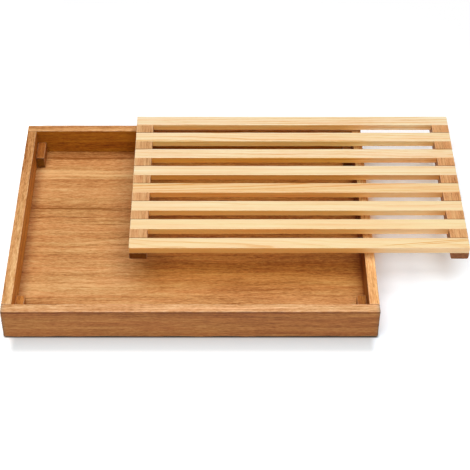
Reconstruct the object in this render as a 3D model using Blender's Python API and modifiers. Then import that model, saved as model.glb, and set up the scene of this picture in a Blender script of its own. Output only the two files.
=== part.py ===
"""A bread board with a crumb catcher: an open wooden tray and the slatted rack that goes with it.

The tray is four boards butted together on hidden dowels, a bottom panel let into a rabbet under
them, and a small block glued into each inner corner. The rack is eight pale slats let into two
notched crossbars, which carry it as feet. It is taken off the tray and lies on the rim, over to
the right and to the back, as it does when the crumbs are tipped out. When it is put away it
stands on the tray's floor, between the corner blocks.

Metres, +X to the right, +Y to the back, +Z up. The origin is the middle of the tray's underside.
"""

import math

import bmesh
import bpy
from mathutils import Matrix

# Tray
TRAY_LENGTH = 0.400
TRAY_DEPTH = 0.305
TRAY_HEIGHT = 0.0395
WALL_THICKNESS = 0.0108
PANEL_THICKNESS = 0.0068
PANEL_LET_IN = 0.004

# Corner blocks: width across the tray, length along its side walls
BLOCK_WIDTH = 0.010
BLOCK_LENGTH = 0.029
BLOCK_HEIGHT = 0.015

# Dowels in the corner joints, and the wood left between a blind bore and the outer face
DOWEL_DIAMETER = 0.005
DOWEL_LENGTH = 0.020
DOWEL_SKIN = 0.004
DOWEL_LEVELS = ("lower", "upper")

# Rack
SLAT_COUNT = 8
SLAT_WIDTH = 0.0157
SLAT_THICKNESS = 0.008
CROSSBAR_WIDTH = 0.0196
CROSSBAR_DROP = 0.009

# Room that the rack has in the tray, at each side wall and at each corner block
RACK_SIDE_CLEARANCE = 0.0045
RACK_BLOCK_CLEARANCE = 0.0012

# Where the rack lies on the rim: how far its middle is from the tray's middle
RACK_SHIFT_RIGHT = 0.117
RACK_SHIFT_BACK = 0.0366

# Fits and edges
GLUE_GAP = 0.0003
REST_GAP = 0.0003
EDGE_EASE = 0.0006
FOOT_ROUND = 0.002
CUT_OVERRUN = 0.005

# Facets
EASE_SEGMENTS = 2
FOOT_SEGMENTS = 4
DOWEL_SIDES = 24
SHARP_ANGLE = math.radians(30)

# Linear colours and roughness of each wood
WALL_WOOD = ((0.502, 0.216, 0.080), 0.55)
FLOOR_WOOD = ((0.515, 0.205, 0.061), 0.60)
BLOCK_WOOD = ((0.390, 0.170, 0.065), 0.65)
SLAT_WOOD = ((0.913, 0.679, 0.402), 0.50)
CROSSBAR_WOOD = ((0.546, 0.283, 0.127), 0.60)
DOWEL_WOOD = ((0.679, 0.456, 0.242), 0.60)

# The tray's inside, and the panel and dowels that reach into its walls
INNER_LENGTH = TRAY_LENGTH - 2 * WALL_THICKNESS
INNER_DEPTH = TRAY_DEPTH - 2 * WALL_THICKNESS
PANEL_LENGTH = INNER_LENGTH + 2 * PANEL_LET_IN
PANEL_DEPTH = INNER_DEPTH + 2 * PANEL_LET_IN
WALL_ABOVE_PANEL = TRAY_HEIGHT - PANEL_THICKNESS
DOWEL_IN_LONG_WALL = WALL_THICKNESS - DOWEL_SKIN

# The rack fits the tray's inside
RACK_LENGTH = INNER_LENGTH - 2 * RACK_SIDE_CLEARANCE
RACK_DEPTH = INNER_DEPTH - 2 * BLOCK_LENGTH - 2 * RACK_BLOCK_CLEARANCE
CROSSBAR_HEIGHT = CROSSBAR_DROP + SLAT_THICKNESS
SLAT_PITCH = (RACK_DEPTH - SLAT_WIDTH) / (SLAT_COUNT - 1)

LEFT_RIGHT = (("left", -1), ("right", 1))
FRONT_BACK = (("front", -1), ("back", 1))


def clear_scene():
    for old in list(bpy.data.objects):
        bpy.data.objects.remove(old, do_unlink=True)


def add_collection(name):
    collection = bpy.data.collections.new(name)
    bpy.context.scene.collection.children.link(collection)
    return collection


def add_wood(name, looks):
    """A material with one plain colour and roughness."""
    colour, roughness = looks
    wood = bpy.data.materials.new(name)
    wood.use_nodes = True
    shader = wood.node_tree.nodes["Principled BSDF"]
    shader.inputs["Base Color"].default_value = (*colour, 1.0)
    shader.inputs["Roughness"].default_value = roughness
    shader.inputs["Metallic"].default_value = 0.0
    wood.diffuse_color = (*colour, 1.0)
    return wood


def add_empty(name, place, collection):
    """A frame that the pieces of one half of the object hang from."""
    empty = bpy.data.objects.new(name, None)
    empty.location = place
    collection.objects.link(empty)
    return empty


def add_object(name, bm, place, collection, parent, wood):
    mesh = bpy.data.meshes.new(name)
    bm.to_mesh(mesh)
    bm.free()
    piece = bpy.data.objects.new(name, mesh)
    piece.parent = parent
    piece.location = place
    collection.objects.link(piece)
    if wood:
        mesh.materials.append(wood)
    return piece


def add_board(name, size, centre, collection, parent, wood=None):
    """A rectangular board: a unit cube stretched to its size."""
    bm = bmesh.new()
    bmesh.ops.create_cube(bm, size=1.0, matrix=Matrix.Diagonal((*size, 1.0)))
    return add_object(name, bm, centre, collection, parent, wood)


def add_peg(name, diameter, length, centre, collection, parent, wood=None):
    """A round peg that lies front to back."""
    bm = bmesh.new()
    bmesh.ops.create_cone(
        bm, cap_ends=True, segments=DOWEL_SIDES, radius1=diameter / 2, radius2=diameter / 2,
        depth=length, matrix=Matrix.Rotation(math.pi / 2, 4, "X"))
    peg = add_object(name, bm, centre, collection, parent, wood)
    peg.data.shade_smooth()
    peg.data.set_sharp_from_angle(angle=SHARP_ANGLE)
    return peg


def make_cutter(cutter):
    cutter.hide_render = True
    cutter.display_type = "WIRE"
    return cutter


def cut(board, cutter):
    boolean = board.modifiers.new(cutter.name, "BOOLEAN")
    boolean.operation = "DIFFERENCE"
    boolean.solver = "EXACT"
    boolean.object = cutter


def round_edges(board, radius, segments, by_weight=False):
    """Round the sharp edges of a board, or only those that carry a bevel weight."""
    bevel = board.modifiers.new("rounded edges", "BEVEL")
    bevel.limit_method = "WEIGHT" if by_weight else "ANGLE"
    bevel.angle_limit = SHARP_ANGLE
    bevel.width = min(radius, min(board.dimensions) / 4)
    bevel.segments = segments


def weigh_lower_edges(board):
    """Give the four lower edges of a plain board the bevel weight that rounds them."""
    mesh = board.data
    weights = mesh.attributes.new("bevel_weight_edge", "FLOAT", "EDGE")
    for edge in mesh.edges:
        heights = [mesh.vertices[index].co.z for index in edge.vertices]
        weights.data[edge.index].value = 1.0 if max(heights) < 0 else 0.0


def build_walls(parts, tray, wood):
    """Front and back walls run the full length, and the side walls butt between them."""
    walls = {}
    for name, side in FRONT_BACK:
        walls[name] = add_board(
            f"{name}_wall", (TRAY_LENGTH, WALL_THICKNESS, TRAY_HEIGHT),
            (0, side * (TRAY_DEPTH - WALL_THICKNESS) / 2, TRAY_HEIGHT / 2), parts, tray, wood)
    for name, side in LEFT_RIGHT:
        walls[name] = add_board(
            f"{name}_wall", (WALL_THICKNESS, INNER_DEPTH - 2 * GLUE_GAP, TRAY_HEIGHT),
            (side * (TRAY_LENGTH - WALL_THICKNESS) / 2, 0, TRAY_HEIGHT / 2), parts, tray, wood)
    return walls


def build_bottom_panel(parts, cutters, tray, walls, wood):
    """The panel lies in a rabbet along the walls' lower inner edges, flush underneath."""
    add_board("bottom_panel", (PANEL_LENGTH, PANEL_DEPTH, PANEL_THICKNESS),
              (0, 0, PANEL_THICKNESS / 2), parts, tray, wood)
    rabbet_height = PANEL_THICKNESS + GLUE_GAP + CUT_OVERRUN
    rabbet = make_cutter(add_board(
        "panel_rabbet", (PANEL_LENGTH + 2 * GLUE_GAP, PANEL_DEPTH + 2 * GLUE_GAP, rabbet_height),
        (0, 0, rabbet_height / 2 - CUT_OVERRUN), cutters, tray))
    for wall in walls.values():
        cut(wall, rabbet)


def build_corner_blocks(parts, tray, wood):
    for depth_name, depth_side in FRONT_BACK:
        for length_name, length_side in LEFT_RIGHT:
            block = add_board(
                f"corner_block_{depth_name}_{length_name}", (BLOCK_WIDTH, BLOCK_LENGTH, BLOCK_HEIGHT),
                (length_side * (INNER_LENGTH / 2 - GLUE_GAP - BLOCK_WIDTH / 2),
                 depth_side * (INNER_DEPTH / 2 - GLUE_GAP - BLOCK_LENGTH / 2),
                 PANEL_THICKNESS + GLUE_GAP + BLOCK_HEIGHT / 2), parts, tray, wood)
            round_edges(block, EDGE_EASE, EASE_SEGMENTS)


def build_corner_dowels(parts, cutters, tray, walls, wood):
    """Blind dowels stand in the side walls' ends and reach into the front and back walls."""
    for depth_name, depth_side in FRONT_BACK:
        outer_end = INNER_DEPTH / 2 + DOWEL_IN_LONG_WALL - GLUE_GAP
        for length_name, length_side in LEFT_RIGHT:
            for step, level in enumerate(DOWEL_LEVELS):
                height = PANEL_THICKNESS + WALL_ABOVE_PANEL * (2 * step + 1) / (2 * len(DOWEL_LEVELS))
                centre = (length_side * (TRAY_LENGTH - WALL_THICKNESS) / 2,
                          depth_side * (outer_end - DOWEL_LENGTH / 2), height)
                name = f"dowel_{depth_name}_{length_name}_{level}"
                add_peg(name, DOWEL_DIAMETER, DOWEL_LENGTH, centre, parts, tray, wood)
                bore = make_cutter(add_peg(
                    f"bore_{depth_name}_{length_name}_{level}", DOWEL_DIAMETER + 2 * GLUE_GAP,
                    DOWEL_LENGTH + 2 * GLUE_GAP, centre, cutters, tray))
                cut(walls[depth_name], bore)
                cut(walls[length_name], bore)


def build_tray(parts, cutters):
    tray = add_empty("tray_frame", (0, 0, 0), parts)
    wall_wood = add_wood("wall_wood", WALL_WOOD)
    walls = build_walls(parts, tray, wall_wood)
    build_bottom_panel(parts, cutters, tray, walls, add_wood("floor_wood", FLOOR_WOOD))
    for wall in walls.values():
        round_edges(wall, EDGE_EASE, EASE_SEGMENTS)
    build_corner_blocks(parts, tray, add_wood("block_wood", BLOCK_WOOD))
    build_corner_dowels(parts, cutters, tray, walls, add_wood("dowel_wood", DOWEL_WOOD))


def build_crossbars(parts, rack, wood):
    """The bars under the slats' ends, rounded where they stand."""
    bars = []
    for name, side in LEFT_RIGHT:
        bar = add_board(
            f"crossbar_{name}", (CROSSBAR_WIDTH, RACK_DEPTH, CROSSBAR_HEIGHT),
            (side * (RACK_LENGTH - CROSSBAR_WIDTH) / 2, 0, CROSSBAR_HEIGHT / 2), parts, rack, wood)
        weigh_lower_edges(bar)
        round_edges(bar, FOOT_ROUND, FOOT_SEGMENTS, by_weight=True)
        bars.append(bar)
    return bars


def build_slats(parts, cutters, rack, bars, wood):
    """Slats from front to back, each let into a notch of both crossbars, flush on top."""
    notch_height = SLAT_THICKNESS + GLUE_GAP + CUT_OVERRUN
    for index in range(SLAT_COUNT):
        across = (SLAT_WIDTH - RACK_DEPTH) / 2 + index * SLAT_PITCH
        slat = add_board(
            f"slat_{index + 1}", (RACK_LENGTH, SLAT_WIDTH, SLAT_THICKNESS),
            (0, across, CROSSBAR_HEIGHT - SLAT_THICKNESS / 2), parts, rack, wood)
        round_edges(slat, EDGE_EASE, EASE_SEGMENTS)
        notch = make_cutter(add_board(
            f"notch_{index + 1}",
            (RACK_LENGTH + 2 * CUT_OVERRUN, SLAT_WIDTH + 2 * GLUE_GAP, notch_height),
            (0, across, CROSSBAR_DROP - GLUE_GAP + notch_height / 2), cutters, rack))
        for bar in bars:
            cut(bar, notch)


def build_rack(parts, cutters):
    rack = add_empty("rack_frame", (RACK_SHIFT_RIGHT, RACK_SHIFT_BACK, TRAY_HEIGHT + REST_GAP), parts)
    bars = build_crossbars(parts, rack, add_wood("crossbar_wood", CROSSBAR_WOOD))
    build_slats(parts, cutters, rack, bars, add_wood("slat_wood", SLAT_WOOD))


def main():
    clear_scene()
    parts = add_collection("bread_board_with_crumb_catcher")
    cutters = add_collection("cutters")
    build_tray(parts, cutters)
    build_rack(parts, cutters)


main()
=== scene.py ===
"""The looks of the bread board with crumb catcher, dressed over its frame.

Every board is modelled again with softly eased, slightly hand-worked edges, and gets its own piece
of wood: growth rings round a pith line, wandering grain, fibres, pores and a few placed veins.
Some of those veins, and the tints on the boards' sides, borders and patches, are painted shade
and painted bounced light, and the paler rubbed edges are partly a painted highlight.
Lengths in this script are metres, and those inside the wood are millimetres.
"""

import math
from dataclasses import dataclass, field, replace

import bmesh
import bpy
from mathutils import Matrix, Vector, noise


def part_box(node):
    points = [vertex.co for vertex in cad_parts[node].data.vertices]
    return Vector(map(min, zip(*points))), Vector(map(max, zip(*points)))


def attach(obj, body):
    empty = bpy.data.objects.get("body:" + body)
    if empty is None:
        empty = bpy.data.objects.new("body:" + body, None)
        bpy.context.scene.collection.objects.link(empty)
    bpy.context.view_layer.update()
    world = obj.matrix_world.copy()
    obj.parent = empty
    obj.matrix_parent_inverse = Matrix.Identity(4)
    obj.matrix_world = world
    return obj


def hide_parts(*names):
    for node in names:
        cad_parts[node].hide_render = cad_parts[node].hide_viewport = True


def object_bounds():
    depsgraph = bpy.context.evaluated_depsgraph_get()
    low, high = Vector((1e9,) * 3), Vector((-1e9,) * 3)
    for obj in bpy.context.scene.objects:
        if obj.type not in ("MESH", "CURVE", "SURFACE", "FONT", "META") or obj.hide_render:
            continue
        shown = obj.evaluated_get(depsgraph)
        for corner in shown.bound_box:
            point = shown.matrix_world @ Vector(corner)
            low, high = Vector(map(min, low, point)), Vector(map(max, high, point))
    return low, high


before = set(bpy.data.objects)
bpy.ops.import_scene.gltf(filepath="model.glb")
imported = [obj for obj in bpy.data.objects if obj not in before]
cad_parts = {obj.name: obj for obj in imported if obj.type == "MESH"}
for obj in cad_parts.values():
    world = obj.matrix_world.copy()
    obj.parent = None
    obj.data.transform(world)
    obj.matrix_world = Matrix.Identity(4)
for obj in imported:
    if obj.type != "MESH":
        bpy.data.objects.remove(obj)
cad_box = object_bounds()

MM = 0.001

# Edges of the boards
STATION_STEP = 0.004
ARC_STEPS = 3
END_STEPS = 4
SMALLEST_RADIUS = 0.00002
WANDER_PERIOD = 0.022
WANDER_SPREAD = 3.7
WANDER_GAIN = 2.0
SHARP_ANGLE = math.radians(35)

# Gaps that the frame keeps between glued pieces
GLUE_GAP = 0.0003
CUT_OVERRUN = 0.002
BORE_SIDES = 24

# How a board lies: rows are the directions along its grain, across its width and through it
FLAT_ALONG_X = Matrix(((1, 0, 0), (0, 1, 0), (0, 0, 1)))
FLAT_ALONG_Y = Matrix(((0, 1, 0), (-1, 0, 0), (0, 0, 1)))
EDGE_ALONG_X = Matrix(((1, 0, 0), (0, 0, 1), (0, -1, 0)))
EDGE_ALONG_Y = Matrix(((0, 1, 0), (0, 0, 1), (1, 0, 0)))


# Boards

@dataclass(frozen=True)
class Edges:
    """Rounding of a board's long edges, from low to high across and through, and of its ends.

    The ends have a rounding of their own at the low side. The wander is the share by which the
    long edges' rounding varies along the board.
    """
    low_low: float = 0.0006
    high_low: float = 0.0006
    high_high: float = 0.0006
    low_high: float = 0.0006
    end: float = 0.0006
    end_low: float = 0.0006
    wander: float = 0.35


def end_inset(radius, depth):
    """How far a rounded end draws a side in, at a depth from the end."""
    if depth >= radius:
        return 0.0
    return radius - math.sqrt(radius ** 2 - (radius - depth) ** 2)


def station_places(length, edges):
    """Places along the board: close together in the rounded ends, even in between."""
    depths = set()
    for radius in (edges.end, edges.end_low):
        for step in range(END_STEPS + 1):
            depths.add(radius * (1 - math.cos(math.pi / 2 * step / END_STEPS)))
    depths = sorted(depths)
    half = length / 2
    reach = half - depths[-1]
    count = max(1, round(2 * reach / STATION_STEP))
    places = [depth - half for depth in depths]
    places += [2 * reach * step / count - reach for step in range(1, count)]
    places += [half - depth for depth in reversed(depths)]
    return places


def section(width, height, depth, place, edges, seed):
    """Points round the board's section at one place, seen along its grain."""
    side = end_inset(edges.end, depth)
    low = end_inset(edges.end_low, depth)
    half_width = width / 2 - side
    top, bottom = height / 2 - side, low - height / 2
    corners = ((1, 1, top, edges.high_high), (-1, 1, top, edges.low_high),
               (-1, -1, bottom, edges.low_low), (1, -1, bottom, edges.high_low))
    points = []
    for index, (across, through, level, radius) in enumerate(corners):
        wave = noise.noise(Vector((place / WANDER_PERIOD, WANDER_SPREAD * index, seed)))
        radius *= 1 + WANDER_GAIN * edges.wander * wave
        radius = max(SMALLEST_RADIUS, radius - max(side, low if through < 0 else side))
        turn = math.atan2(through, across) - math.pi / 4
        for step in range(ARC_STEPS + 1):
            angle = turn + math.pi / 2 * step / ARC_STEPS
            points.append((across * (half_width - radius) + radius * math.cos(angle),
                           level - through * radius + radius * math.sin(angle)))
    return points


def board_mesh(name, size, edges, seed):
    """A board along its own first axis, lofted through its sections."""
    length, width, height = size
    bm = bmesh.new()
    rings = []
    for place in station_places(length, edges):
        depth = length / 2 - abs(place)
        outline = section(width, height, depth, place, edges, seed)
        rings.append([bm.verts.new((place, across, through)) for across, through in outline])
    for ring, following in zip(rings, rings[1:]):
        for index in range(len(ring)):
            after = (index + 1) % len(ring)
            bm.faces.new((ring[index], ring[after], following[after], following[index]))
    bm.faces.new(rings[0])
    bm.faces.new(rings[-1])
    bmesh.ops.recalc_face_normals(bm, faces=bm.faces)
    mesh = bpy.data.meshes.new(name)
    bm.to_mesh(mesh)
    bm.free()
    return mesh


def box_of(node):
    """The middle and the size of a CAD node's box."""
    low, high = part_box(node)
    return (low + high) / 2, high - low


def add_board(node, lie, edges, seed):
    """The board that stands for a CAD node, in the same box."""
    centre, size = box_of(node)
    own_size = [abs(value) for value in lie @ size]
    mesh = board_mesh(node + "_board", own_size, edges, seed)
    mesh.transform(Matrix.Translation(centre) @ lie.transposed().to_4x4())
    board = bpy.data.objects.new(node + "_board", mesh)
    bpy.context.scene.collection.objects.link(board)
    return board


def add_box(bm, low, high):
    """A closed box in a cutter."""
    low, high = Vector(low), Vector(high)
    place = Matrix.Translation((low + high) / 2) @ Matrix.Diagonal((*(high - low), 1.0))
    bmesh.ops.create_cube(bm, size=1.0, matrix=place)


def cut(board, bm):
    """Take the shapes in bm out of the board, for good."""
    mesh = bpy.data.meshes.new(board.name + "_cutter")
    bm.to_mesh(mesh)
    bm.free()
    cutter = bpy.data.objects.new(board.name + "_cutter", mesh)
    bpy.context.scene.collection.objects.link(cutter)
    boolean = board.modifiers.new("cut", "BOOLEAN")
    boolean.operation = "DIFFERENCE"
    boolean.solver = "EXACT"
    boolean.object = cutter
    evaluated = board.evaluated_get(bpy.context.evaluated_depsgraph_get())
    finished = bpy.data.meshes.new_from_object(evaluated)
    board.modifiers.clear()
    board.data = finished
    bpy.data.objects.remove(cutter, do_unlink=True)


def finish_board(board, node, body, wood):
    """Shade the board, give it its wood and hand it to the frame."""
    mesh = board.data
    mesh.materials.clear()
    mesh.materials.append(wood)
    mesh.shade_smooth()
    mesh.set_sharp_from_angle(angle=SHARP_ANGLE)
    weighted = board.modifiers.new("weighted normals", "WEIGHTED_NORMAL")
    weighted.keep_sharp = True
    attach(board, body)
    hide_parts(node)


# Wood

# The directions inside a board: along its grain, across its width and through it
ALONG, ACROSS, THROUGH = range(3)
NO_TINT = (1.0, 1.0, 1.0)


@dataclass(frozen=True)
class Timber:
    """One kind of wood. Sizes in millimetres, colours linear.

    The shares say how much darker or paler each layer of the figure makes it.
    """
    pale: tuple
    mid: tuple
    dark: tuple
    ring_spacing: float
    ring_share: float
    ring_start: float
    broad_share: float
    band_share: float
    streak_share: float
    fibre_share: float
    fleck_share: float
    fineness: float
    wander: float
    wander_length: float
    pore_length: float
    pore_width: float
    pore_amount: float
    roughness: float
    relief: float
    quiver: float = 0.8
    end_tint: tuple = (0.62, 0.55, 0.48)
    golden: tuple = (1.00, 1.03, 0.96)
    russet: tuple = (1.00, 0.90, 0.80)


@dataclass(frozen=True)
class Vein:
    """A dark or bright line in a board: where it lies across and along it, as shares from -1 to 1.

    Its place may be counted through the board and not across it. A lean moves it aside along the
    board, and it follows the given share of the grain's wander.
    """
    across: float
    start: float
    stop: float
    width: float
    strength: float
    axis: int = ACROSS
    lean: float = 0.0
    wander_share: float = 1.0


@dataclass(frozen=True)
class Tint:
    """A tint for one side of a board: which of its own directions the side faces, and its colour.

    The far colour takes over along the board, from start to stop in millimetres from its middle.
    """
    axis: int
    sign: int
    colour: tuple
    far: tuple = None
    start: float = 0.0
    stop: float = 0.0


@dataclass(frozen=True)
class Border:
    """A painted shade along a board's ends or sides: in which direction, how deep it reaches and its
    colour.

    It starts at a distance from the board's end, and is full there. A sign keeps it to one end.
    """
    axis: int
    start: float
    reach: float
    colour: tuple
    sign: int = 0


@dataclass(frozen=True)
class Patch:
    """A painted shade over part of a board, between two corners along and across it, with soft borders.
    """
    low: Vector
    high: Vector
    fade: float
    colour: tuple


@dataclass(frozen=True)
class Sawn:
    """How one board was sawn from its log, and how it differs from its timber.

    The pith lies across and through the board, in millimetres from its middle, and the taper
    makes the rings run out along it. The rings, their scale and the figure are factors on the
    timber's ring share, its ring spacing and its other shares.
    """
    seed: float
    pith: tuple = (60.0, -90.0)
    taper: float = 0.0
    rings: float = 1.0
    ring_scale: float = 1.0
    figure: float = 1.0
    tint: tuple = NO_TINT
    # Some veins, and the sides, borders and patches, paint shade and bounced light on the board.
    veins: tuple = field(default_factory=tuple)
    sides: tuple = field(default_factory=tuple)
    borders: tuple = field(default_factory=tuple)
    patches: tuple = field(default_factory=tuple)


@dataclass(frozen=True)
class Layer:
    """One layer of noise: its changes per millimetre along and across the grain, and its kind."""
    along: float
    across: float
    detail: float
    roughness: float
    shift: float


# Layers of the figure, from broad to fine
BROAD = Layer(0.004, 0.045, 2.0, 0.5, 7.7)
BANDS = Layer(0.006, 0.13, 1.0, 0.5, 2.9)
STREAKS = Layer(0.014, 0.36, 2.0, 0.6, 1.4)
FIBRES = Layer(0.050, 0.80, 3.0, 0.65, 9.2)
FLECKS = Layer(0.18, 0.90, 2.0, 0.7, 5.9)
REDNESS = Layer(0.008, 0.17, 2.0, 0.6, 6.1)
SCUFFS = Layer(0.15, 0.15, 2.0, 0.6, 8.8)
SOFT_BLEND = (0.3, 0.7)
MEAN_NOISE = 0.5

# Growth rings
UNEVEN_RINGS = Layer(0.004, 0.03, 1.0, 0.5, 5.1)
UNEVENNESS = 1.5
RING_CREST = (0.90, 0.92)
WEAKEST_RING = 0.2

# The grain's wander. The timber's own length gives the drift's changes along the grain.
DRIFT = Layer(1.0, 0.012, 2.0, 0.45, 0.0)
QUIVER = Layer(0.03, 0.12, 2.0, 0.5, 2.3)
WANDER_THROUGH = 0.6
SEED_STEPS = (137.0, 61.0, 29.0)

# Pores. The timber's own length and width give their changes along and across the grain.
PORES = Layer(1.0, 1.0, 1.0, 0.5, 4.6)
PORE_PATCHES = Layer(0.02, 0.09, 1.0, 0.5, 3.3)
PORE_BLEND = (0.58, 0.70)
PORE_PATCH_BLEND = (0.35, 0.65)

# Colour, wear and surface. No wood is paler than the palest value. The rubbed edges, whose paler
# colour is partly wear and partly a painted highlight, begin at the first depth from the edge and
# are full at the second.
BASE_TONE = 0.45
PALEST = 0.97
VEIN_FADE_SHARE = 0.15
SIDE_BLEND = (0.6, 0.9)
WEAR_AND_HIGHLIGHT_DEPTH = (1.3, 0.2)
WEAR_AND_HIGHLIGHT_COLOUR = (1.0, 0.86, 0.66)
WEAR_AND_HIGHLIGHT_SCREEN = 0.4
WEAR_AND_HIGHLIGHT_SHARE = 0.35
WORN_SMOOTHNESS = 0.08
STREAK_ROUGHNESS = 0.18
PORE_ROUGHNESS = 0.12
FIBRE_RELIEF = 0.35
RING_RELIEF = 0.2
PORE_RELIEF = 0.8
BUMP_STRENGTH = 0.6
GLOSS_LEVEL = 0.3

TRAY_TIMBER = Timber(
    pale=(0.75, 0.44, 0.195), mid=(0.54, 0.250, 0.083), dark=(0.26, 0.082, 0.010),
    ring_spacing=9.0, ring_share=0.14, ring_start=0.15, broad_share=0.40, band_share=0.32,
    streak_share=0.36, fibre_share=0.62, fleck_share=0.62, fineness=1.0, wander=4.0,
    wander_length=120.0, pore_length=5.0, pore_width=0.7, pore_amount=0.25, roughness=0.55,
    relief=0.05)
# The blocks' ends are end grain, and their dark end tint also paints shade on them.
BLOCK_TIMBER = replace(
    TRAY_TIMBER, pale=(0.45, 0.170, 0.026), mid=(0.30, 0.090, 0.010), dark=(0.14, 0.036, 0.003),
    end_tint=(0.51, 0.58, 0.22))
CROSSBAR_TIMBER = replace(
    TRAY_TIMBER, pale=(0.73, 0.42, 0.205), mid=(0.585, 0.295, 0.125), dark=(0.29, 0.11, 0.030),
    ring_spacing=5.0, ring_share=0.25, broad_share=0.2, streak_share=0.60, fibre_share=0.85,
    fineness=1.8, wander=1.2, quiver=0.4)
SLAT_TIMBER = Timber(
    pale=(0.885, 0.755, 0.525), mid=(0.835, 0.620, 0.350), dark=(0.71, 0.36, 0.110),
    ring_spacing=4.2, ring_share=0.58, ring_start=0.50, broad_share=0.24, band_share=0.24,
    streak_share=0.34, fibre_share=0.44, fleck_share=0.20, fineness=1.7, wander=2.2, quiver=0.6,
    wander_length=90.0, pore_length=12.0, pore_width=0.6, pore_amount=0.08, roughness=0.50,
    relief=0.03, end_tint=(0.80, 0.68, 0.55))
DOWEL_TIMBER = replace(
    SLAT_TIMBER, pale=(0.78, 0.55, 0.33), mid=(0.68, 0.45, 0.24), dark=(0.50, 0.30, 0.14),
    ring_spacing=2.0)


class Graph:
    """Adds nodes to one material. Most calls return the new node's output."""

    def __init__(self, name):
        self.material = bpy.data.materials.new(name)
        self.material.use_nodes = True
        self.tree = self.material.node_tree
        self.shader = self.tree.nodes["Principled BSDF"]

    def add(self, kind, **settings):
        """A new node. This call returns the node itself."""
        node = self.tree.nodes.new(kind)
        for name, value in settings.items():
            setattr(node, name, value)
        return node

    def feed(self, socket, value):
        """Link an output to the socket, or set the socket's own value."""
        if isinstance(value, bpy.types.NodeSocket):
            self.tree.links.new(value, socket)
        elif isinstance(value, (tuple, list, Vector)) and socket.type == "RGBA":
            socket.default_value = (*value, 1.0)
        else:
            socket.default_value = value

    def math(self, operation, first, second=0.0, third=0.0, clamp=False):
        node = self.add("ShaderNodeMath", operation=operation, use_clamp=clamp)
        for socket, value in zip(node.inputs, (first, second, third)):
            self.feed(socket, value)
        return node.outputs["Value"]

    def product(self, first, *others):
        """All the values multiplied."""
        for value in others:
            first = self.math("MULTIPLY", first, value)
        return first

    def vector(self, operation, first, second):
        node = self.add("ShaderNodeVectorMath", operation=operation)
        self.feed(node.inputs[0], first)
        self.feed(node.inputs[1], second)
        return node.outputs["Vector"]

    def split(self, vector):
        """The vector's three parts."""
        node = self.add("ShaderNodeSeparateXYZ")
        self.feed(node.inputs[0], vector)
        return node.outputs

    def noise(self, place, layer, seed, fineness=1.0):
        """Smooth noise from 0 to 1, as the layer says, finer across the grain by the fineness."""
        across = layer.across * fineness
        node = self.add("ShaderNodeTexNoise", noise_dimensions="4D")
        self.feed(node.inputs["Vector"], self.vector("MULTIPLY", place, (layer.along, across, across)))
        node.inputs["W"].default_value = seed + layer.shift
        node.inputs["Scale"].default_value = 1.0
        node.inputs["Detail"].default_value = layer.detail
        node.inputs["Roughness"].default_value = layer.roughness
        return node.outputs["Fac"]

    def between(self, value, low, high):
        """0 below low, 1 above high, and the other way round where low is the larger one."""
        node = self.add("ShaderNodeMapRange", interpolation_type="SMOOTHSTEP")
        self.feed(node.inputs["Value"], value)
        node.inputs["From Min"].default_value = low
        node.inputs["From Max"].default_value = high
        return node.outputs["Result"]

    def mix(self, share, first, second, blend="MIX"):
        """The first colour, and the second one as far as the share goes."""
        node = self.add("ShaderNodeMix", data_type="RGBA", blend_type=blend, clamp_factor=True)
        self.feed(node.inputs["Factor"], share)
        colours = [socket for socket in node.inputs if socket.type == "RGBA"]
        self.feed(colours[0], first)
        self.feed(colours[1], second)
        return [socket for socket in node.outputs if socket.type == "RGBA"][0]

    def tint(self, share, colour, tint):
        """The colour, multiplied by the tint as far as the share goes."""
        return self.mix(share, colour, tint, "MULTIPLY")

    def ramp(self, value, colours):
        """Colours at even steps from 0 to 1."""
        node = self.add("ShaderNodeValToRGB")
        elements = node.color_ramp.elements
        while len(elements) < len(colours):
            elements.new(0.5)
        for index, (element, colour) in enumerate(zip(elements, colours)):
            element.position = index / (len(colours) - 1)
            element.color = (*colour, 1.0)
        self.feed(node.inputs["Fac"], value)
        return node.outputs["Color"]


@dataclass(frozen=True)
class Plank:
    """What the layers of one board's wood share.

    The place is the point in the board's own directions, in millimetres from its middle. Each
    board has its own part of the noise, where the place is moved to, and the grain's place is
    drawn aside there by the offset.
    """
    graph: Graph
    timber: Timber
    sawn: Sawn
    lie: Matrix
    half: list
    place: bpy.types.NodeSocket
    moved: bpy.types.NodeSocket
    offset: bpy.types.NodeSocket
    grain: bpy.types.NodeSocket

    def layer(self, layer, fineness=1.0):
        """A layer of the figure, which follows this board's grain."""
        return self.graph.noise(self.grain, layer, self.sawn.seed, fineness)


def board_place(graph, lie, centre):
    """The point in the board's own directions, in millimetres from its middle."""
    coordinates = graph.add("ShaderNodeTexCoord").outputs["Object"]
    mapping = graph.add("ShaderNodeMapping", vector_type="POINT")
    graph.feed(mapping.inputs["Vector"], coordinates)
    mapping.inputs["Scale"].default_value = (1 / MM,) * 3
    mapping.inputs["Rotation"].default_value = lie.to_euler()
    mapping.inputs["Location"].default_value = -(lie @ centre) / MM
    return mapping.outputs["Vector"]


def grain_offset(graph, timber, sawn, moved):
    """How far the grain wanders aside."""
    drift = graph.noise(moved, replace(DRIFT, along=1 / timber.wander_length), sawn.seed)
    quiver = graph.noise(moved, QUIVER, sawn.seed)
    trembling = graph.math("MULTIPLY_ADD", quiver, timber.quiver, -MEAN_NOISE * timber.quiver)
    drifting = graph.math("SUBTRACT", drift, MEAN_NOISE)
    offset = graph.math("MULTIPLY_ADD", drifting, 2 * timber.wander, trembling)
    sideways = graph.add("ShaderNodeCombineXYZ")
    graph.feed(sideways.inputs["Y"], offset)
    graph.feed(sideways.inputs["Z"], graph.math("MULTIPLY", offset, WANDER_THROUGH))
    return sideways.outputs["Vector"]


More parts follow.
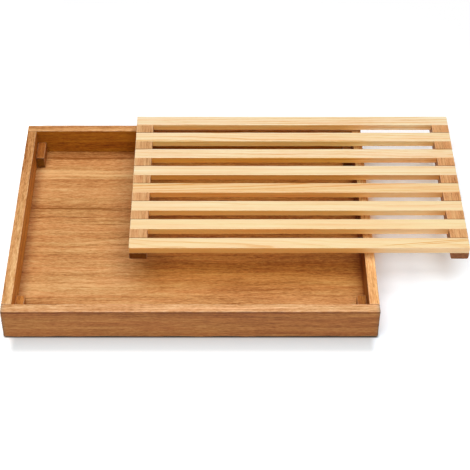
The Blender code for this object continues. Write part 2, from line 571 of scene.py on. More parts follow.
def make_plank(name, timber, sawn, lie, node):
    """The start of a board's wood, in the directions and the box of its CAD node."""
    centre, size = box_of(node)
    half = [abs(value) / MM / 2 for value in lie @ size]
    graph = Graph(name)
    place = board_place(graph, lie, centre)
    moved = graph.vector("ADD", place, [step * sawn.seed for step in SEED_STEPS])
    offset = grain_offset(graph, timber, sawn, moved)
    grain = graph.vector("ADD", moved, offset)
    return Plank(graph, timber, sawn, lie, half, place, moved, offset, grain)


def ring_tone(plank):
    """Growth rings: 0 in the early wood, rising to 1 in the late wood of each ring."""
    graph, timber, sawn = plank.graph, plank.timber, plank.sawn
    along, across, through = graph.split(graph.vector("ADD", plank.place, plank.offset))
    aside = graph.math("SUBTRACT", across, sawn.pith[0])
    below = graph.math("SUBTRACT", through, sawn.pith[1])
    square = graph.math("MULTIPLY_ADD", aside, aside, graph.math("MULTIPLY", below, below))
    leaning = graph.math("MULTIPLY_ADD", along, sawn.taper, graph.math("SQRT", square))
    uneven = graph.noise(plank.moved, UNEVEN_RINGS, sawn.seed)
    spacing = timber.ring_spacing * sawn.ring_scale
    count = graph.math("MULTIPLY_ADD", uneven, UNEVENNESS, graph.math("DIVIDE", leaning, spacing))
    phase = graph.math("FRACT", count)
    rise = graph.between(phase, timber.ring_start, RING_CREST[0])
    fall = graph.between(phase, RING_CREST[1], 1.0)
    tone = graph.math("SUBTRACT", rise, fall, clamp=True)
    which = graph.add("ShaderNodeTexWhiteNoise", noise_dimensions="1D")
    graph.feed(which.inputs["W"], graph.math("ADD", graph.math("FLOOR", count), sawn.seed))
    strength = graph.math("MULTIPLY_ADD", which.outputs["Value"], 1 - WEAKEST_RING, WEAKEST_RING)
    return graph.math("MULTIPLY", tone, strength)


def pore_tone(plank):
    """1 in the pores, which come in patches."""
    graph, timber = plank.graph, plank.timber
    pores = plank.layer(replace(PORES, along=1 / timber.pore_length, across=1 / timber.pore_width))
    patches = plank.layer(PORE_PATCHES)
    return graph.product(graph.between(pores, *PORE_BLEND), graph.between(patches, *PORE_PATCH_BLEND))


def vein_tone(plank, vein):
    """1 along the middle of a vein, fading out to its sides and its ends."""
    graph, half = plank.graph, plank.half
    followed = graph.vector("MULTIPLY", plank.offset, (vein.wander_share,) * 3)
    directions = graph.split(graph.vector("ADD", plank.place, followed))
    along = directions[ALONG]
    straight = graph.math("MULTIPLY_ADD", along, -vein.lean, directions[vein.axis])
    aside = graph.math("SUBTRACT", straight, vein.across * half[vein.axis])
    line = graph.between(graph.math("ABSOLUTE", aside), vein.width, 0.0)
    start, stop = vein.start * half[ALONG], vein.stop * half[ALONG]
    fade = VEIN_FADE_SHARE * half[ALONG]
    begins = graph.between(along, start - fade, start + fade)
    ends = graph.between(along, stop + fade, stop - fade)
    return graph.product(line, begins, ends)


def wood_tone(plank, rings, streaks, fibres, pores):
    """How dark the wood is, from 0 to 1, before its tints."""
    graph, timber, sawn = plank.graph, plank.timber, plank.sawn
    tone = graph.math("MULTIPLY", rings, timber.ring_share * sawn.rings)
    layers = ((plank.layer(BROAD), timber.broad_share),
              (plank.layer(BANDS, timber.fineness), timber.band_share),
              (streaks, timber.streak_share),
              (fibres, timber.fibre_share),
              (plank.layer(FLECKS, timber.fineness), timber.fleck_share))
    for layer, share in layers:
        centred = graph.math("SUBTRACT", layer, MEAN_NOISE)
        tone = graph.math("MULTIPLY_ADD", centred, 2 * share * sawn.figure, tone)
    for vein in sawn.veins:
        tone = graph.math("MULTIPLY_ADD", vein_tone(plank, vein), vein.strength, tone)
    tone = graph.math("MULTIPLY_ADD", pores, timber.pore_amount, tone)
    mean_ring = (1 + WEAKEST_RING) / 2 * (1 - timber.ring_start) / 2
    level = BASE_TONE - mean_ring * timber.ring_share * sawn.rings
    return graph.math("ADD", tone, level, clamp=True)


def side_tint(plank, colour):
    """End grain drinks more oil. The tints given for a board's other sides are mostly painted shade and
    painted bounced light.
    """
    graph = plank.graph
    normal = graph.add("ShaderNodeTexCoord").outputs["Normal"]
    along = graph.split(plank.place)[ALONG]
    ends = tuple(Tint(ALONG, sign, plank.timber.end_tint) for sign in (1, -1))
    for side in ends + plank.sawn.sides:
        dot = graph.add("ShaderNodeVectorMath", operation="DOT_PRODUCT")
        graph.feed(dot.inputs[0], normal)
        dot.inputs[1].default_value = side.sign * plank.lie[side.axis]
        facing = graph.between(dot.outputs["Value"], *SIDE_BLEND)
        tint = side.colour
        if side.far:
            tint = graph.mix(graph.between(along, side.start, side.stop), side.colour, side.far)
        colour = graph.tint(facing, colour, tint)
    return colour


def painted_border_shade(plank, colour):
    """Painted shade darkens a board along the ends and sides given, where it meets its neighbours."""
    graph = plank.graph
    for border in plank.sawn.borders:
        value = graph.split(plank.place)[border.axis]
        if border.sign:
            value = graph.math("MULTIPLY", value, border.sign)
        else:
            value = graph.math("ABSOLUTE", value)
        full = plank.half[border.axis] - border.start
        colour = graph.tint(graph.between(value, full - border.reach, full), colour, border.colour)
    return colour


def painted_patch_shade(plank, colour):
    """Painted shade over parts of a board, which makes them a little darker or more golden."""
    graph = plank.graph
    directions = graph.split(plank.place)
    for patch in plank.sawn.patches:
        share = 1.0
        for value, low, high in zip(directions, patch.low, patch.high):
            after_low = graph.between(value, low - patch.fade, low + patch.fade)
            before_high = graph.between(value, high + patch.fade, high - patch.fade)
            share = graph.product(share, after_low, before_high)
        colour = graph.tint(share, colour, patch.colour)
    return colour


def edge_wear_and_highlight(plank):
    """1 at the board's rubbed edges, which are smoother, and whose paler colour is partly a painted
    highlight.
    """
    graph = plank.graph
    gaps = []
    for value, reach in zip(graph.split(plank.place), plank.half):
        gaps.append(graph.math("SUBTRACT", reach, graph.math("ABSOLUTE", value)))
    smaller = graph.math("MINIMUM", gaps[0], gaps[1])
    larger = graph.math("MAXIMUM", gaps[0], gaps[1])
    middle = graph.math("MAXIMUM", smaller, graph.math("MINIMUM", larger, gaps[2]))
    scuffs = graph.noise(plank.moved, SCUFFS, plank.sawn.seed)
    return graph.product(graph.between(middle, *WEAR_AND_HIGHLIGHT_DEPTH), graph.between(scuffs, *SOFT_BLEND))


def wood_colour(plank, tone, wear_and_highlight):
    """The wood's colour, from its tone, its tints and its paler edges, which are partly a painted
    highlight.
    """
    graph, timber, sawn = plank.graph, plank.timber, plank.sawn
    colour = graph.ramp(tone, (timber.pale, timber.mid, timber.dark))
    russet = graph.between(plank.layer(REDNESS), *SOFT_BLEND)
    colour = graph.tint(1.0, colour, graph.mix(russet, timber.golden, timber.russet))
    colour = graph.tint(1.0, colour, sawn.tint)
    colour = side_tint(plank, colour)
    colour = painted_border_shade(plank, colour)
    colour = painted_patch_shade(plank, colour)
    # Paler edges: partly wear, partly a painted highlight on the rounded edges.
    paler = graph.mix(WEAR_AND_HIGHLIGHT_SCREEN, colour, WEAR_AND_HIGHLIGHT_COLOUR, "SCREEN")
    colour = graph.mix(graph.math("MULTIPLY", wear_and_highlight, WEAR_AND_HIGHLIGHT_SHARE), colour, paler)
    return graph.vector("MINIMUM", colour, (PALEST,) * 3)


def wood_roughness(plank, streaks, pores, wear_and_highlight):
    """Streaks and pores vary the gloss, and rubbed edges are smoother."""
    graph = plank.graph
    even = plank.timber.roughness - MEAN_NOISE * STREAK_ROUGHNESS
    roughness = graph.math("MULTIPLY_ADD", streaks, STREAK_ROUGHNESS, even)
    roughness = graph.math("MULTIPLY_ADD", pores, PORE_ROUGHNESS, roughness)
    return graph.math("MULTIPLY_ADD", wear_and_highlight, -WORN_SMOOTHNESS, roughness)


def wood_relief(plank, rings, fibres, pores):
    """A fine relief of fibres, rings and pores."""
    graph = plank.graph
    height = graph.math("MULTIPLY_ADD", fibres, FIBRE_RELIEF, graph.math("MULTIPLY", rings, RING_RELIEF))
    bump = graph.add("ShaderNodeBump")
    bump.inputs["Strength"].default_value = BUMP_STRENGTH
    bump.inputs["Distance"].default_value = plank.timber.relief * MM
    graph.feed(bump.inputs["Height"], graph.math("MULTIPLY_ADD", pores, -PORE_RELIEF, height))
    return bump.outputs["Normal"]


def make_wood(name, timber, sawn, lie, node):
    """The wood of one board, solid through it."""
    plank = make_plank(name, timber, sawn, lie, node)
    rings = ring_tone(plank)
    streaks = plank.layer(STREAKS, timber.fineness)
    fibres = plank.layer(FIBRES, timber.fineness)
    pores = pore_tone(plank)
    wear_and_highlight = edge_wear_and_highlight(plank)
    tone = wood_tone(plank, rings, streaks, fibres, pores)
    graph = plank.graph
    inputs = graph.shader.inputs
    graph.feed(inputs["Base Color"], wood_colour(plank, tone, wear_and_highlight))
    graph.feed(inputs["Roughness"], wood_roughness(plank, streaks, pores, wear_and_highlight))
    graph.feed(inputs["Normal"], wood_relief(plank, rings, fibres, pores))
    inputs["Specular IOR Level"].default_value = GLOSS_LEVEL
    return graph.material


# Tray

@dataclass(frozen=True)
class Wall:
    """One wall: how it lies, which of its sides is the outer one, and its wood."""
    lie: Matrix
    outer_side: int
    sawn: Sawn


# Painted shade: the walls' outer faces are darker than their tops.
OUTER_FACE_SHADE = (0.645, 0.465, 0.228)


def wall_sides(outer_side, *inner):
    """A wall's outer side, and its inner one with its colour, which may change along it. Both tints
    paint the shade and light that fall on the wall's sides.
    """
    return Tint(THROUGH, outer_side, OUTER_FACE_SHADE), Tint(THROUGH, -outer_side, *inner)


# The front wall's top is paler with painted light, and its inner face darker with painted shade.
FRONT_WALL_SIDES = wall_sides(1, (0.70, 0.50, 0.25)) + (
    Tint(ACROSS, 1, (1.03, 1.05, 1.13)),
    Tint(ALONG, -1, (2.3, 1.7, 1.1)),
    Tint(ALONG, 1, (2.3, 1.7, 1.1)))
FRONT_WALL_VEINS_AND_SHADE = (
    # A dark line just under the front wall's top edge: partly grain, partly painted shade on the rounded
    # edge.
    Vein(0.905, -1.2, 0.55, 1.7, 0.60, wander_share=0.2),
    Vein(0.905, 0.55, 1.2, 1.5, 0.35, wander_share=0.2),
    Vein(0.76, -1.0, 0.3, 1.6, 0.34, wander_share=0.5),
    Vein(0.60, -0.9, 0.5, 1.0, 0.30, wander_share=0.4),
    Vein(0.42, -0.9, 1.2, 0.9, 0.14, THROUGH),
    Vein(0.10, -0.9, 0.9, 1.5, -0.18, THROUGH))
# Painted shade along the front wall's two upright corners, where the side walls meet it.
FRONT_WALL_END_SHADE = (
    Border(ALONG, 0.0, 5.0, (0.80, 0.92, 1.20)),
    Border(ALONG, 0.0, 1.6, (0.50, 0.62, 0.80)))
# Painted shade on the right wall's inner face, darker where the rack lies over it, and painted light on
# its top under the rack, which is paler there.
RIGHT_WALL_SIDES = wall_sides(1, (0.49, 0.34, 0.09), (0.31, 0.18, 0.05), -105.0, -60.0) + (
    Tint(ACROSS, 1, NO_TINT, (1.30, 1.66, 2.10), -95.0, -55.0),)
WALLS = {
    "front_wall": Wall(EDGE_ALONG_X, 1, Sawn(
        1.0, (70.0, 60.0), tint=(1.16, 1.24, 1.48), figure=0.95, sides=FRONT_WALL_SIDES,
        veins=FRONT_WALL_VEINS_AND_SHADE, borders=FRONT_WALL_END_SHADE)),
    # The back wall's inner face is darker with painted shade. The left wall's inner face is lighter
    # towards the front with painted light, and darker behind with painted shade.
    "back_wall": Wall(EDGE_ALONG_X, -1, Sawn(
        2.0, (-50.0, 70.0), tint=(1.13, 1.12, 1.20), sides=wall_sides(-1, (0.66, 0.495, 0.082)))),
    "left_wall": Wall(EDGE_ALONG_Y, -1, Sawn(
        3.0, (60.0, -40.0), tint=(1.18, 1.27, 1.46), veins=(Vein(0.0, 0.45, 1.5, 90.0, 0.20),),
        sides=wall_sides(-1, (1.25, 0.98, 0.50), (0.96, 0.73, 0.27), -125.0, -95.0))),
    "right_wall": Wall(EDGE_ALONG_Y, 1, Sawn(
        4.0, (-70.0, 50.0), tint=(1.32, 1.31, 1.36), sides=RIGHT_WALL_SIDES)),
}
WALL_TOP_RADIUS = 0.0009
WALL_FOOT_RADIUS = 0.0015
WALL_WANDER = 0.45

# Floor of the tray
PANEL_SEED = 5.0
PANEL_EDGES = Edges(*(0.0003,) * 6, wander=0.1)
# Veins in the floor's wood, and painted shade where marked.
PANEL_VEINS_AND_SHADE = (
    Vein(0.278, -0.95, -0.50, 1.5, 0.95),
    Vein(0.175, -0.95, -0.62, 1.3, 0.95),
    Vein(0.090, -0.64, -0.45, 1.4, 0.60),
    # Painted shade: a dark line and a broad darkening along the foot of the back wall.
    Vein(0.890, -0.95, -0.40, 3.0, 0.50),
    Vein(0.960, -1.20, 1.20, 22.0, 0.36),
    Vein(0.725, -1.20, -0.05, 3.5, -0.36),
    Vein(0.680, -1.20, -0.05, 3.0, -0.42),
    Vein(0.640, -1.20, -0.05, 2.5, -0.26),
    Vein(0.690, -1.20, -0.05, 11.0, -0.24),
    Vein(-0.790, -1.20, -0.74, 15.0, 0.50),
    Vein(0.245, -1.20, -0.20, 30.0, 0.16),
    Vein(-0.170, -1.20, -0.20, 24.0, -0.12),
    Vein(-0.560, -0.70, -0.30, 4.0, -0.25),
    # Painted shadow on the floor under the rack's front slat.
    Vein(-0.360, -0.28, 1.20, 22.0, 0.36),
    Vein(-0.640, 0.15, 1.30, 45.0, 0.16),
    # Painted shade: a broad darkening under the rest of the rack.
    Vein(0.250, -0.25, 1.20, 95.0, 0.24),
)
# Painted shade along the side walls: the end where each lies, how far it reaches, and its colour
PANEL_SHADES = ((1, 10.0, (0.78, 0.62, 0.46)), (1, 2.6, (0.62, 0.52, 0.30)),
                (-1, 11.0, (0.72, 0.62, 0.55)))
# The golden painted shade under the rack, in millimetres from the rack's and the panel's corners
PATCH_START = Vector((12.0, -8.0))
PATCH_OVERRUN = Vector((25.0, 25.0))
PATCH_FADE = 28.0
RACK_SHADE_COLOUR = (0.98, 0.84, 0.44)

# Corner blocks and dowels
FIRST_BLOCK_SEED = 6.0
BLOCK_EDGES = Edges(wander=0.3)
BLOCK_PITH = (12.0, -20.0)
BLOCK_TINTS = {"corner_block_front_left": (1.50, 1.80, 2.60)}
DOWEL_SAWN = Sawn(11.0, (3.0, -8.0))


def nodes_named(start):
    """The frame's nodes whose names start so, in order."""
    return [node for node in sorted(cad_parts) if node.startswith(start)]


def wall_edges(outer_side):
    """A wall's outer edges are rounded more than its inner ones."""
    if outer_side > 0:
        return Edges(high_high=WALL_TOP_RADIUS, low_high=WALL_FOOT_RADIUS, wander=WALL_WANDER)
    return Edges(high_low=WALL_TOP_RADIUS, low_low=WALL_FOOT_RADIUS, wander=WALL_WANDER)


def panel_rabbet(bm):
    """Room for the panel, open below."""
    low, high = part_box("bottom_panel")
    room = Vector((GLUE_GAP, GLUE_GAP, 0))
    add_box(bm, low - room - Vector((0, 0, CUT_OVERRUN)), high + room + Vector((0, 0, GLUE_GAP)))


def dowel_bores(bm):
    """Blind bores round the dowels."""
    for node in nodes_named("dowel"):
        centre, size = box_of(node)
        radius = size.x / 2 + GLUE_GAP
        bmesh.ops.create_cone(
            bm, cap_ends=True, segments=BORE_SIDES, radius1=radius, radius2=radius,
            depth=size.y + 2 * GLUE_GAP,
            matrix=Matrix.Translation(centre) @ Matrix.Rotation(math.pi / 2, 4, "X"))


def build_walls():
    """The four walls, each with its rabbet and its bores."""
    for node, wall in WALLS.items():
        board = add_board(node, wall.lie, wall_edges(wall.outer_side), wall.sawn.seed)
        for add_shapes in (panel_rabbet, dowel_bores):
            bm = bmesh.new()
            add_shapes(bm)
            cut(board, bm)
        wood = make_wood(node + "_wood", TRAY_TIMBER, wall.sawn, wall.lie, node)
        finish_board(board, node, "tray", wood)


def panel_wall_shade():
    """Painted shade darkens the floor along the side walls, from their inner faces on."""
    hidden = (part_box("bottom_panel")[1].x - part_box("right_wall")[0].x) / MM
    return tuple(Border(ALONG, hidden, reach, colour, sign) for sign, reach, colour in PANEL_SHADES)


def panel_rack_shade():
    """The floor is a little more golden with painted shade where the rack lies over it."""
    rack_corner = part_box("crossbar_left")[0].xy / MM
    panel_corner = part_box("bottom_panel")[1].xy / MM
    return (Patch(rack_corner + PATCH_START, panel_corner + PATCH_OVERRUN, PATCH_FADE, RACK_SHADE_COLOUR),)


def build_panel():
    """The tray's floor."""
    sawn = Sawn(PANEL_SEED, (40.0, -160.0), veins=PANEL_VEINS_AND_SHADE, borders=panel_wall_shade(),
                patches=panel_rack_shade())
    panel = add_board("bottom_panel", FLAT_ALONG_X, PANEL_EDGES, PANEL_SEED)
    wood = make_wood("panel_wood", TRAY_TIMBER, sawn, FLAT_ALONG_X, "bottom_panel")
    finish_board(panel, "bottom_panel", "tray", wood)


def build_blocks():
    """The four corner blocks, with their grain from front to back."""
    for index, node in enumerate(nodes_named("corner_block")):
        sawn = Sawn(FIRST_BLOCK_SEED + index, BLOCK_PITH, tint=BLOCK_TINTS.get(node, NO_TINT))
        block = add_board(node, FLAT_ALONG_Y, BLOCK_EDGES, sawn.seed)
        wood = make_wood(node + "_wood", BLOCK_TIMBER, sawn, FLAT_ALONG_Y, node)
        finish_board(block, node, "tray", wood)


def dress_dowels():
    """The dowels keep their solids and get their own wood."""
    for node in nodes_named("dowel"):
        wood = make_wood(node + "_wood", DOWEL_TIMBER, DOWEL_SAWN, FLAT_ALONG_Y, node)
        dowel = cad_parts[node]
        dowel.data.materials.clear()
        dowel.data.materials.append(wood)


# Rack

CROSSBAR_EDGES = Edges(low_low=0.002, high_low=0.002, high_high=0.0003, low_high=0.0003,
                       end=0.0004, end_low=0.0008, wander=0.15)
# Painted shade: the crossbars' front ends, and the right one's inner side, are darker.
CROSSBARS = {
    "crossbar_left": Sawn(12.0, (8.0, -40.0), sides=(Tint(ALONG, -1, (0.50, 0.31, 0.03)),)),
    "crossbar_right": Sawn(13.0, (8.0, -40.0), tint=(1.08, 1.07, 1.06), sides=(
        Tint(ALONG, -1, (0.63, 0.45, 0.29)), Tint(ACROSS, 1, (0.60, 0.46, 0.28)))),
}
SLAT_EDGES = Edges(wander=0.3)
SLATS = {
    "slat_1": Sawn(14.0, (-7.0, -21.0), taper=0.026, rings=0.7, ring_scale=0.50, figure=0.7, veins=(
        Vein(-1.90, 0.54, 1.3, 0.8, 0.90, lean=0.112, wander_share=0.4),
        Vein(-2.25, 0.69, 1.3, 0.8, 0.80, lean=0.115, wander_share=0.4),
        Vein(0.60, 0.88, 1.3, 0.6, 0.60, lean=-0.04, wander_share=0.4))),
    "slat_2": Sawn(15.0, (25.0, -40.0), taper=0.004, rings=0.6, figure=0.6, tint=(1.01, 1.01, 1.01)),
    "slat_3": Sawn(16.0, (-30.0, -40.0), taper=0.005, rings=0.6, figure=0.6, tint=(1.02, 1.03, 1.08)),
    "slat_4": Sawn(17.0, (11.0, -22.0), taper=0.016, rings=1.2, ring_scale=0.45, figure=1.1,
                   tint=(0.97, 0.87, 0.77)),
    "slat_5": Sawn(18.0, (28.0, -45.0), taper=0.003, rings=0.6, figure=0.6, tint=(1.01, 1.04, 1.13)),
    "slat_6": Sawn(19.0, (-22.0, -38.0), taper=0.008, rings=1.6, ring_scale=0.55, figure=1.5,
                   tint=(1.01, 1.00, 1.05)),
    "slat_7": Sawn(20.0, (-12.0, -20.0), taper=0.010, rings=1.3, ring_scale=0.5, figure=1.1,
                   tint=(1.03, 1.02, 1.05)),
    "slat_8": Sawn(21.0, (14.0, -24.0), taper=0.008, rings=0.9, ring_scale=0.5, figure=1.0,
                   tint=(1.03, 1.07, 1.22)),
}
# A slat's sides: their painted bounced light over the tray, warm from its wood, and past it, paler from
# the floor
SLAT_BACK_PAINTED_LIGHT = ((1.17, 0.90, 0.48), (1.17, 1.16, 1.18))
SLAT_FRONT_PAINTED_LIGHT = {
    "slat_1": ((1.17, 0.80, 0.40), (1.17, 1.09, 1.08)),
    "slat_2": ((1.17, 0.87, 0.45), (1.17, 1.04, 0.98)),
    "slat_3": ((1.17, 0.86, 0.42), (1.17, 0.99, 0.80)),
    "slat_4": ((1.17, 0.87, 0.44), (1.17, 1.02, 0.92)),
    "slat_5": ((0.99, 0.61, 0.21), (0.96, 0.65, 0.39)),
    "slat_6": ((1.14, 0.74, 0.20), (1.17, 0.87, 0.62)),
    "slat_7": ((1.17, 1.02, 0.58), (1.17, 1.08, 0.90)),
    "slat_8": ((1.17, 0.90, 0.47), (1.17, 1.04, 0.92)),
}
FREE_FRONT = "slat_1"
SLAT_BAR_PAINTED_SHADE = (0.90, 0.78, 0.58)
# Where the painted light and shade change over, in metres from the tray's right end and the right
# crossbar
SLAT_TRAY_BLEND = (-0.0280, 0.0220)
SLAT_BAR_BLEND = (-0.0271, 0.0009)


def slat_blend(node, place, blend):
    """A place along the tray and the blend round it, in millimetres from the slat's middle."""
    middle = box_of(node)[0].x
    return [(place + reach - middle) / MM for reach in blend]


def slat_sides(node):
    """A slat's sides are warmer than its top with painted light bounced from the tray, but less so where
    it stands out past the tray.

    All but the first, whose front is free, are darker with painted shade where their front meets the
    right crossbar.
    """
    tray_end = slat_blend(node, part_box("right_wall")[1].x, SLAT_TRAY_BLEND)
    bar = slat_blend(node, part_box("crossbar_right")[0].x, SLAT_BAR_BLEND)
    front = Tint(ACROSS, -1, *SLAT_FRONT_PAINTED_LIGHT[node], *tray_end)
    back = Tint(ACROSS, 1, *SLAT_BACK_PAINTED_LIGHT, *tray_end)
    if node == FREE_FRONT:
        return front, back
    return front, back, Tint(ACROSS, -1, NO_TINT, SLAT_BAR_PAINTED_SHADE, *bar)


def slat_notches(bm, bar):
    """Open notches for the slats across a crossbar."""
    bar_low, bar_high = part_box(bar)
    for node in SLATS:
        low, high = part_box(node)
        add_box(bm, (bar_low.x - CUT_OVERRUN, low.y - GLUE_GAP, low.z - GLUE_GAP),
                (bar_high.x + CUT_OVERRUN, high.y + GLUE_GAP, high.z + CUT_OVERRUN))


def build_crossbars():
    """The two notched crossbars."""
    for node, sawn in CROSSBARS.items():
        bar = add_board(node, FLAT_ALONG_Y, CROSSBAR_EDGES, sawn.seed)
        bm = bmesh.new()
        slat_notches(bm, node)
        cut(bar, bm)
        wood = make_wood(node + "_wood", CROSSBAR_TIMBER, sawn, FLAT_ALONG_Y, node)
        finish_board(bar, node, "rack", wood)


def build_slats():
    """The eight slats."""
    for node, sawn in SLATS.items():
        slat = add_board(node, FLAT_ALONG_X, SLAT_EDGES, sawn.seed)
        sawn = replace(sawn, sides=slat_sides(node))
        wood = make_wood(node + "_wood", SLAT_TIMBER, sawn, FLAT_ALONG_X, node)
        finish_board(slat, node, "rack", wood)


# Studio

CAMERA_PLACE = (0.03327, -1.14039, 1.11498)
CAMERA_TILT = math.radians(45.7324)
CAMERA_LENS = 106.424
CAMERA_SHIFT = 0.02795
WHITE = (1.0, 1.0, 1.0)
WORLD_LIGHT = 0.08
LAMP_PLACE = (0.05, -0.30, 1.6)
LAMP_WIDTH = 2.0
LAMP_DEPTH = 2.4
LAMP_POWER = 44.0
FLOOR_SIZE = 8.0
FLOOR_DROP = 0.00005

# The floor's colour, and what the camera sees of it round the tray: painted shadow in front of the tray,
# and painted light past its left end and under the rack's foot
FLOOR_COLOUR = (0.97, 0.97, 0.97)
FLOOR_SHADOW_BY_FRONT = (0.72, 0.755, 0.77)
FLOOR_SEEN_AROUND = (1.05, 1.05, 1.06)
FLOOR_LIGHT_AT_LEFT = (1.80, 1.80, 1.80)
FLOOR_SEEN_AT_RIGHT = (1.01, 1.08, 1.15)
FLOOR_LIGHT_UNDER_FOOT = (1.17, 1.26, 1.33)

# Tints on top of that
FLOOR_AT_CONTACT = (0.14, 0.12, 0.09)
FLOOR_BY_WALL = (1.00, 0.70, 0.45)
FLOOR_UNDER_RACK = (1.05, 0.985, 0.92)

# Where those colours and tints begin and end
FLOOR_BLEND = 0.01
LEFT_BLEND = 0.014
FRONT_SHADE_START = 0.016
FRONT_SHADE_STOP = 0.028
FOOT_SHADE_START = 0.04
CONTACT_REACH = 0.0026
WALL_GLOW_REACH = 0.018
FAR_WHITE = (0.33, 0.62)

# The same for two tints in the rack's shade, in metres from the tray's middle to the back
WALL_GLOW_BLEND = (-0.055, -0.010)
UNDER_RACK_BLEND = (-0.028, -0.008)

# The tray's four sides. It stands in the middle of the frame, and the rack reaches past it only
# to the right.
TRAY_LEFT, TRAY_FRONT = cad_box[0][0], cad_box[0][1]
TRAY_RIGHT, TRAY_BACK = -TRAY_LEFT, -TRAY_FRONT


def camera_ray(tree):
    """1 where the camera looks straight at a surface."""
    return tree.nodes.new("ShaderNodeLightPath").outputs["Is Camera Ray"]


def floor_sheet():
    """A wide sheet a hair under the tray."""
    mesh = bpy.data.meshes.new("studio_floor")
    bm = bmesh.new()
    bmesh.ops.create_grid(bm, x_segments=1, y_segments=1, size=FLOOR_SIZE / 2)
    bm.to_mesh(mesh)
    bm.free()
    floor = bpy.data.objects.new("studio_floor", mesh)
    floor.location.z = -FLOOR_DROP
    bpy.context.scene.collection.objects.link(floor)
    return floor


def before_back(graph, depth):
    """1 before the line of the tray's back."""
    return graph.between(depth, TRAY_BACK + FLOOR_BLEND, TRAY_BACK - FLOOR_BLEND)


def past_right_end(graph, side, depth):
    """1 past the tray's right end, before the line of its back."""
    past = graph.between(side, TRAY_RIGHT - FLOOR_BLEND, TRAY_RIGHT)
    return graph.product(before_back(graph, depth), past)


def floor_seen(graph, side, depth, foot):
    """The floor's painted shadow in front of the tray, its painted light past the tray's ends, and the
    floor around it.
    """
    before = graph.between(depth, TRAY_FRONT - FRONT_SHADE_START, TRAY_FRONT - FRONT_SHADE_STOP)
    behind = graph.between(depth, TRAY_FRONT + FLOOR_BLEND, TRAY_FRONT + 2 * FLOOR_BLEND)
    colour = graph.mix(graph.math("ADD", before, behind), FLOOR_SHADOW_BY_FRONT, FLOOR_SEEN_AROUND)
    under_foot = graph.between(side, TRAY_RIGHT + FOOT_SHADE_START, foot[0].x)
    right = graph.mix(under_foot, FLOOR_SEEN_AT_RIGHT, FLOOR_LIGHT_UNDER_FOOT)
    colour = graph.mix(past_right_end(graph, side, depth), colour, right)
    at_left = graph.between(side, TRAY_LEFT + LEFT_BLEND, TRAY_LEFT - LEFT_BLEND / 4)
    return graph.mix(at_left, colour, FLOOR_LIGHT_AT_LEFT)


def rack_glow(graph, side, depth, foot):
    """1 under the rack's free end, which warms the light there."""
    within = graph.between(side, foot[1].x + FLOOR_BLEND, foot[1].x - FLOOR_BLEND)
    behind_front = graph.between(depth, *UNDER_RACK_BLEND)
    return graph.product(past_right_end(graph, side, depth), behind_front, within)


def wall_glow(graph, side, depth):
    """1 at the foot of the right wall, whose wood warms the light there."""
    near = graph.between(side, TRAY_RIGHT + WALL_GLOW_REACH, TRAY_RIGHT)
    right_half = graph.between(side, 0.0, TRAY_RIGHT / 2)
    behind_front = graph.between(depth, *WALL_GLOW_BLEND)
    before = graph.between(depth, TRAY_BACK, TRAY_BACK / 2)
    return graph.product(near, right_half, behind_front, before)


def contact_shadow(graph, side, depth):
    """1 in the thin dark line where the tray's front stands on the floor."""
    near = graph.between(depth, TRAY_FRONT - CONTACT_REACH, TRAY_FRONT)
    before = graph.between(depth, TRAY_FRONT + 2 * FLOOR_BLEND, TRAY_FRONT + FLOOR_BLEND)
    aside = graph.math("ABSOLUTE", side)
    within = graph.between(aside, TRAY_RIGHT + CONTACT_REACH, TRAY_RIGHT - CONTACT_REACH)
    return graph.product(near, before, within)


def white_far_away(graph, place, near):
    """The near shader round the tray, and plain white for the camera far from it."""
    plain = graph.add("ShaderNodeEmission")
    distance = graph.add("ShaderNodeVectorMath", operation="LENGTH")
    graph.feed(distance.inputs[0], place)
    far = graph.between(distance.outputs["Value"], *FAR_WHITE)
    shader = graph.add("ShaderNodeMixShader")
    graph.feed(shader.inputs[0], graph.math("MULTIPLY", far, camera_ray(graph.tree)))
    graph.feed(shader.inputs[1], near)
    graph.feed(shader.inputs[2], plain.outputs["Emission"])
    return shader.outputs["Shader"]


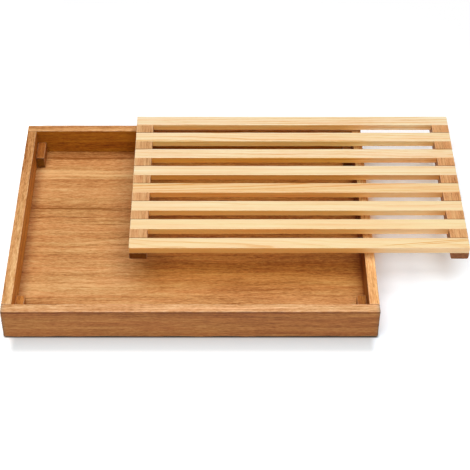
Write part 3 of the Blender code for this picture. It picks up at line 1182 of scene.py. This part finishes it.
def make_floor_paint():
    """A matt pale floor, which the camera sees in the tints above, with their painted shadows and light
    round the tray.
    """
    graph = Graph("studio_floor")
    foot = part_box("crossbar_right")
    place = graph.add("ShaderNodeTexCoord").outputs["Object"]
    side, depth, _ = graph.split(place)
    seen = floor_seen(graph, side, depth, foot)
    seen = graph.tint(rack_glow(graph, side, depth, foot), seen, FLOOR_UNDER_RACK)
    seen = graph.tint(wall_glow(graph, side, depth), seen, FLOOR_BY_WALL)
    seen = graph.tint(contact_shadow(graph, side, depth), seen, FLOOR_AT_CONTACT)
    matt = graph.add("ShaderNodeBsdfDiffuse")
    graph.feed(matt.inputs["Color"], graph.mix(camera_ray(graph.tree), FLOOR_COLOUR, seen))
    surface = graph.tree.nodes["Material Output"].inputs["Surface"]
    graph.feed(surface, white_far_away(graph, place, matt.outputs["BSDF"]))
    graph.tree.nodes.remove(graph.shader)
    return graph.material


def build_floor():
    """The studio's floor, which is no part of the object."""
    floor = floor_sheet()
    floor.data.materials.append(make_floor_paint())


def build_world():
    """An even white surround, which the camera sees as plain white."""
    world = bpy.data.worlds.new("studio")
    world.use_nodes = True
    bpy.context.scene.world = world
    tree = world.node_tree
    background = tree.nodes["Background"]
    background.inputs["Color"].default_value = (*WHITE, 1.0)
    strength = tree.nodes.new("ShaderNodeMix")
    strength.data_type = "FLOAT"
    numbers = [socket for socket in strength.inputs if socket.type == "VALUE"]
    tree.links.new(camera_ray(tree), numbers[0])
    numbers[1].default_value = WORLD_LIGHT
    numbers[2].default_value = 1.0
    tree.links.new(strength.outputs[0], background.inputs["Strength"])


def build_lamp():
    """One wide soft lamp overhead, turned towards the tray."""
    lamp = bpy.data.lights.new("overhead_lamp", "AREA")
    lamp.shape = "RECTANGLE"
    lamp.size = LAMP_WIDTH
    lamp.size_y = LAMP_DEPTH
    lamp.energy = LAMP_POWER
    holder = bpy.data.objects.new("overhead_lamp", lamp)
    holder.location = LAMP_PLACE
    holder.rotation_euler.x = -math.atan2(LAMP_PLACE[1], LAMP_PLACE[2])
    bpy.context.scene.collection.objects.link(holder)


def build_camera():
    """The camera at the photo's angle."""
    data = bpy.data.cameras.new("camera")
    data.lens = CAMERA_LENS
    data.shift_x = CAMERA_SHIFT
    camera = bpy.data.objects.new("camera", data)
    camera.location = CAMERA_PLACE
    camera.rotation_euler = (CAMERA_TILT, 0, 0)
    bpy.context.scene.collection.objects.link(camera)
    bpy.context.scene.camera = camera


build_walls()
build_panel()
build_blocks()
dress_dowels()
build_crossbars()
build_slats()
build_floor()
build_world()
build_lamp()
build_camera()
bpy.context.scene.view_settings.view_transform = "Standard"
